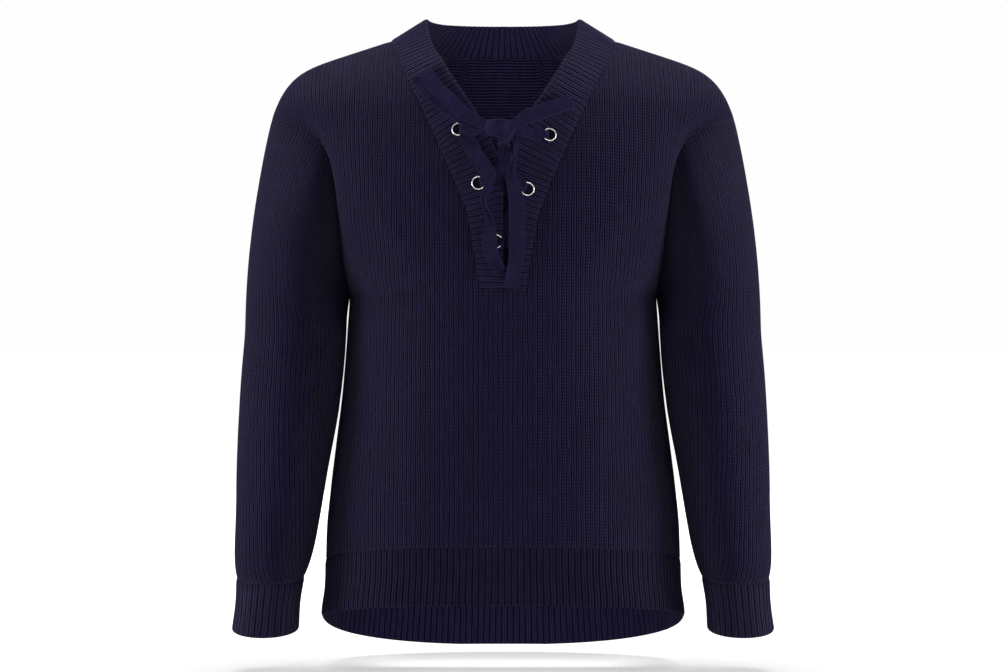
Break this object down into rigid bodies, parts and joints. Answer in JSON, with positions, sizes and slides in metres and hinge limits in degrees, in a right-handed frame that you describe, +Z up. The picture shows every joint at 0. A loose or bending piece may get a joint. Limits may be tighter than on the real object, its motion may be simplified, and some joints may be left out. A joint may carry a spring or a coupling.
{
  "type": "v-neck sweater",
  "caption": "Hollow knitted drop-shoulder sweater with a deep V neck, ribbed welts, and a flat ribbon laced through metal eyelets and tied in a bow.",
  "frame": {"origin": "inside the neck, level with the shoulders where the wearer holds the garment up", "axes": "+Z up, front towards -Y, the wearer's left towards +X"},
  "size_m": [0.5572, 0.2497, 0.6682],
  "materials": {
    "knit": "matt stocking-stitch knit",
    "rib_knit": "matt rib knit",
    "eyelet_metal": "polished",
    "ribbon": "matt woven ribbon"
  },
  "bodies": {
    "root": {"front": "knit", "back": "knit", "sleeve_left": "knit", "sleeve_right": "knit", "hem_front": "rib_knit", "hem_back": "rib_knit", "cuff_left": "rib_knit", "cuff_right": "rib_knit", "neckband": "rib_knit", "eyelet_left_1": "eyelet_metal", "eyelet_left_2": "eyelet_metal", "eyelet_left_3": "eyelet_metal", "eyelet_right_1": "eyelet_metal", "eyelet_right_2": "eyelet_metal", "eyelet_right_3": "eyelet_metal", "lace_bar": "ribbon", "lace_low_left": "ribbon", "lace_low_right": "ribbon", "lace_cross_left": "ribbon", "lace_cross_right": "ribbon", "lace_lead_left": "ribbon", "lace_lead_right": "ribbon", "lace_knot": "ribbon", "bow_left_front": "ribbon", "bow_left_back": "ribbon", "bow_right_front": "ribbon", "bow_right_back": "ribbon", "tail_left": "ribbon", "tail_right": "ribbon"}
  },
  "joints": []
}
